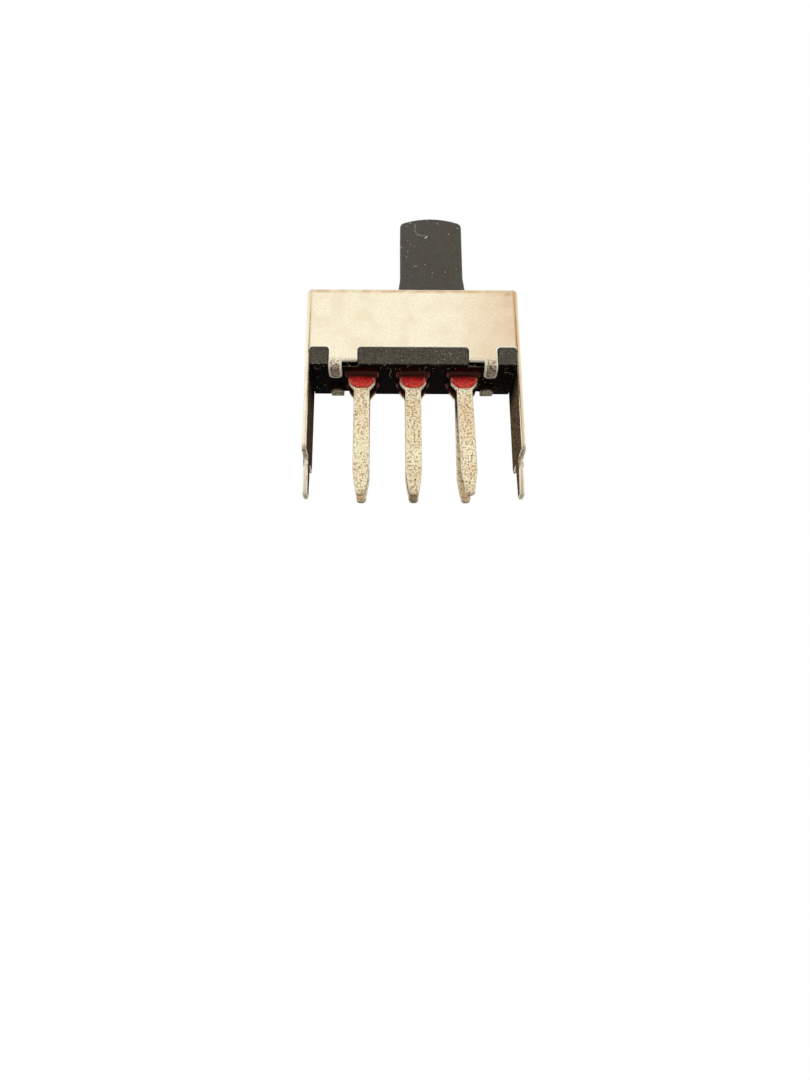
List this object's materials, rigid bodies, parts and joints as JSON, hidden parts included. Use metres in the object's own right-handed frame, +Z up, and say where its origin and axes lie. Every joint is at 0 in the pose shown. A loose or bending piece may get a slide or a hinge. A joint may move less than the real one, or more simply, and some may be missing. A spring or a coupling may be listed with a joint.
{
  "type": "slide switch",
  "caption": "Miniature board-mount slide switch: steel can with legs and crimp tabs, black base and knob, tinned blade pins in a double row with red resin seals.",
  "frame": {"origin": "middle of the footprint, on the board's surface, where the leg shoulders sit", "axes": "+X along the slide, +Y from the front wall to the rear wall, +Z up along the knob"},
  "size_m": [0.0176, 0.005, 0.0259],
  "materials": {
    "can_steel": "satin nickel plate",
    "base_moulding": "satin black",
    "knob_moulding": "satin black",
    "tinned_strip": "dull tin plate",
    "red_resin": "glossy",
    "clip_bronze": "bright",
    "ball_steel": "polished",
    "spring_steel": "bright wire"
  },
  "bodies": {
    "frame": {"shell": "can_steel", "terminal_base": "base_moulding", "terminal_front_left": "tinned_strip", "terminal_front_centre": "tinned_strip", "terminal_front_right": "tinned_strip", "terminal_rear_left": "tinned_strip", "terminal_rear_centre": "tinned_strip", "terminal_rear_right": "tinned_strip", "seal_front_left": "red_resin", "seal_front_centre": "red_resin", "seal_front_right": "red_resin", "seal_rear_left": "red_resin", "seal_rear_centre": "red_resin", "seal_rear_right": "red_resin"},
    "slide_unit": {"slider": "knob_moulding", "contact_clip_front": "clip_bronze", "contact_clip_rear": "clip_bronze", "detent_spring": "spring_steel"},
    "ball_front": {"detent_ball_front": "ball_steel"},
    "ball_rear": {"detent_ball_rear": "ball_steel"}
  },
  "joints": [
    {"name": "knob_slide", "type": "slide", "parent": "frame", "child": "slide_unit", "axis": [1, 0, 0], "range_m": [-0.0033, 0]},
    {"name": "front_ball_snap", "type": "slide", "parent": "slide_unit", "child": "ball_front", "axis": [0, -1, 0], "range_m": [0, 0.00015], "deforming": ["detent_spring"]},
    {"name": "rear_ball_snap", "type": "slide", "parent": "slide_unit", "child": "ball_rear", "axis": [0, 1, 0], "range_m": [0, 0.00015], "deforming": ["detent_spring"]}
  ]
}
